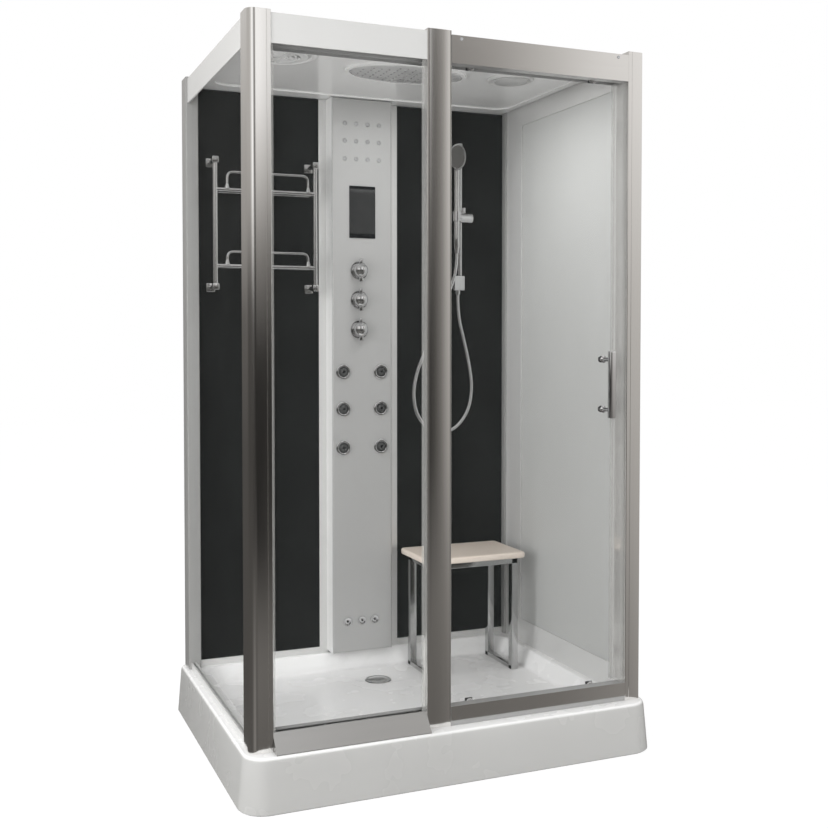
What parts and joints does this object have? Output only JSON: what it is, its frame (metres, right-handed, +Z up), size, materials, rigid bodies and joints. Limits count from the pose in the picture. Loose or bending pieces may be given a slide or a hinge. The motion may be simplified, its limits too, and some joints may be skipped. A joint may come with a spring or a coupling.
{
  "type": "steam shower cabin",
  "caption": "Steam shower cabin with a white tray and roof, satin aluminium posts, clear panes, a sliding door, black back panels and a silver equipment column.",
  "frame": {"origin": "centre of the footprint on the floor", "axes": "+Z up, -Y the front with the sliding door, +X to the right of someone who faces the door"},
  "size_m": [1.3, 0.98, 2.15],
  "materials": {
    "acrylic_white": "gloss",
    "zinc_steel": "satin",
    "trap_plastic": "matt",
    "pipe_plastic": "matt",
    "chrome": "polished",
    "plated_plastic": "chrome plated",
    "aluminium": "satin anodised",
    "clear_glass": "clear",
    "frosted_glass": "frosted",
    "black_glass": "black-backed",
    "seal": "matt",
    "roller_nylon": "matt",
    "column_silver": "silver lacquer",
    "display_black": "gloss",
    "nozzle_rubber": "matt",
    "seat_wood": "lacquered",
    "rain_plastic": "gloss",
    "lamp_plastic": "opal"
  },
  "bodies": {
    "cabin": {"tray": "acrylic_white", "tray_frame": "zinc_steel", "levelling_feet": "zinc_steel", "drain_trap": "trap_plastic", "front_left_post": "aluminium", "middle_post": "aluminium", "front_right_post": "aluminium", "back_left_post": "aluminium", "back_right_post": "aluminium", "front_pane_sill": "aluminium", "door_bottom_track": "aluminium", "door_top_track": "aluminium", "side_profiles": "aluminium", "front_fixed_pane": "clear_glass", "left_side_pane": "clear_glass", "right_wall_panel": "frosted_glass", "back_left_panel": "black_glass", "back_right_panel": "black_glass", "pane_seals": "seal", "column_frame": "aluminium", "column_panel": "column_silver", "touch_panel": "display_black", "mixer_valve": "chrome", "jet_bodies": "chrome", "spray_nozzles": "nozzle_rubber", "steam_outlets": "chrome", "water_pipes": "pipe_plastic", "steam_generator": "zinc_steel", "towel_rack": "chrome", "riser_rail": "chrome", "hose_outlet": "chrome", "shower_hose": "chrome", "roof": "acrylic_white", "rain_head": "rain_plastic", "fan_housing": "acrylic_white", "ceiling_light": "lamp_plastic", "fasteners": "zinc_steel"},
    "door": {"door_pane": "clear_glass", "door_edge_seal": "seal", "door_handle": "chrome", "roller_brackets": "chrome"},
    "top_left_wheel": {"top_left_roller": "roller_nylon"},
    "top_right_wheel": {"top_right_roller": "roller_nylon"},
    "bottom_left_wheel": {"bottom_left_roller": "roller_nylon"},
    "bottom_right_wheel": {"bottom_right_roller": "roller_nylon"},
    "temperature_control": {"temperature_knob": "chrome"},
    "diverter_control": {"diverter_knob": "chrome"},
    "flow_control": {"flow_knob": "chrome"},
    "jet_1": {"jet_nozzle_1": "nozzle_rubber"},
    "jet_2": {"jet_nozzle_2": "nozzle_rubber"},
    "jet_3": {"jet_nozzle_3": "nozzle_rubber"},
    "jet_4": {"jet_nozzle_4": "nozzle_rubber"},
    "jet_5": {"jet_nozzle_5": "nozzle_rubber"},
    "jet_6": {"jet_nozzle_6": "nozzle_rubber"},
    "shower_holder": {"shower_slider": "chrome", "hand_shower": "plated_plastic"},
    "stool": {"stool_frame": "chrome", "stool_seat": "seat_wood"},
    "waste_cover": {"drain_cover": "chrome"},
    "fan": {"fan_rotor": "roller_nylon"}
  },
  "joints": [
    {"name": "door_slide", "type": "slide", "parent": "cabin", "child": "door", "axis": [1, 0, 0], "range_m": [-0.45, 0]},
    {"name": "top_left_wheel_turn", "type": "hinge", "parent": "door", "child": "top_left_wheel", "pos_m": [0.053, -0.3785, 2.0912], "axis": [0, 1, 0], "continuous": true},
    {"name": "top_right_wheel_turn", "type": "hinge", "parent": "door", "child": "top_right_wheel", "pos_m": [0.465, -0.3785, 2.0912], "axis": [0, 1, 0], "continuous": true},
    {"name": "bottom_left_wheel_turn", "type": "hinge", "parent": "door", "child": "bottom_left_wheel", "pos_m": [0.053, -0.3785, 0.1742], "axis": [0, 1, 0], "continuous": true},
    {"name": "bottom_right_wheel_turn", "type": "hinge", "parent": "door", "child": "bottom_right_wheel", "pos_m": [0.465, -0.3785, 0.1742], "axis": [0, 1, 0], "continuous": true},
    {"name": "temperature_control_turn", "type": "hinge", "parent": "cabin", "child": "temperature_control", "pos_m": [-0.022, 0.338, 1.514], "axis": [0, -1, 0], "range_deg": [-90, 90]},
    {"name": "diverter_control_turn", "type": "hinge", "parent": "cabin", "child": "diverter_control", "pos_m": [-0.022, 0.338, 1.411], "axis": [0, -1, 0], "range_deg": [0, 270]},
    {"name": "flow_control_turn", "type": "hinge", "parent": "cabin", "child": "flow_control", "pos_m": [-0.022, 0.338, 1.306], "axis": [0, -1, 0], "range_deg": [0, 270]},
    {"name": "jet_1_tilt", "type": "hinge", "parent": "cabin", "child": "jet_1", "pos_m": [-0.081, 0.364, 1.157], "axis": [1, 0, 0], "range_deg": [-15, 15]},
    {"name": "jet_2_tilt", "type": "hinge", "parent": "cabin", "child": "jet_2", "pos_m": [-0.081, 0.364, 1.026], "axis": [1, 0, 0], "range_deg": [-15, 15]},
    {"name": "jet_3_tilt", "type": "hinge", "parent": "cabin", "child": "jet_3", "pos_m": [-0.081, 0.364, 0.889], "axis": [1, 0, 0], "range_deg": [-15, 15]},
    {"name": "jet_4_tilt", "type": "hinge", "parent": "cabin", "child": "jet_4", "pos_m": [0.06, 0.364, 1.157], "axis": [1, 0, 0], "range_deg": [-15, 15]},
    {"name": "jet_5_tilt", "type": "hinge", "parent": "cabin", "child": "jet_5", "pos_m": [0.06, 0.364, 1.026], "axis": [1, 0, 0], "range_deg": [-15, 15]},
    {"name": "jet_6_tilt", "type": "hinge", "parent": "cabin", "child": "jet_6", "pos_m": [0.06, 0.364, 0.889], "axis": [1, 0, 0], "range_deg": [-15, 15]},
    {"name": "holder_slide", "type": "slide", "parent": "cabin", "child": "shower_holder", "axis": [0, 0, 1], "range_m": [-0.1, 0.1], "deforming": ["shower_hose"]},
    {"name": "stool_lift", "type": "slide", "parent": "cabin", "child": "stool", "axis": [0, 0, 1], "range_m": [0, 0.1]},
    {"name": "cover_lift", "type": "slide", "parent": "cabin", "child": "waste_cover", "axis": [0, 0, 1], "range_m": [0, 0.03]},
    {"name": "fan_spin", "type": "hinge", "parent": "cabin", "child": "fan", "pos_m": [-0.429, -0.093, 2.128], "axis": [0, 0, 1], "continuous": true}
  ],
  "couplings": [
    {"joint": "top_left_wheel_turn", "follows": "door_slide", "rad_per_m": 83.333},
    {"joint": "top_right_wheel_turn", "follows": "door_slide", "rad_per_m": 83.333},
    {"joint": "bottom_left_wheel_turn", "follows": "door_slide", "rad_per_m": 100},
    {"joint": "bottom_right_wheel_turn", "follows": "door_slide", "rad_per_m": 100}
  ]
}
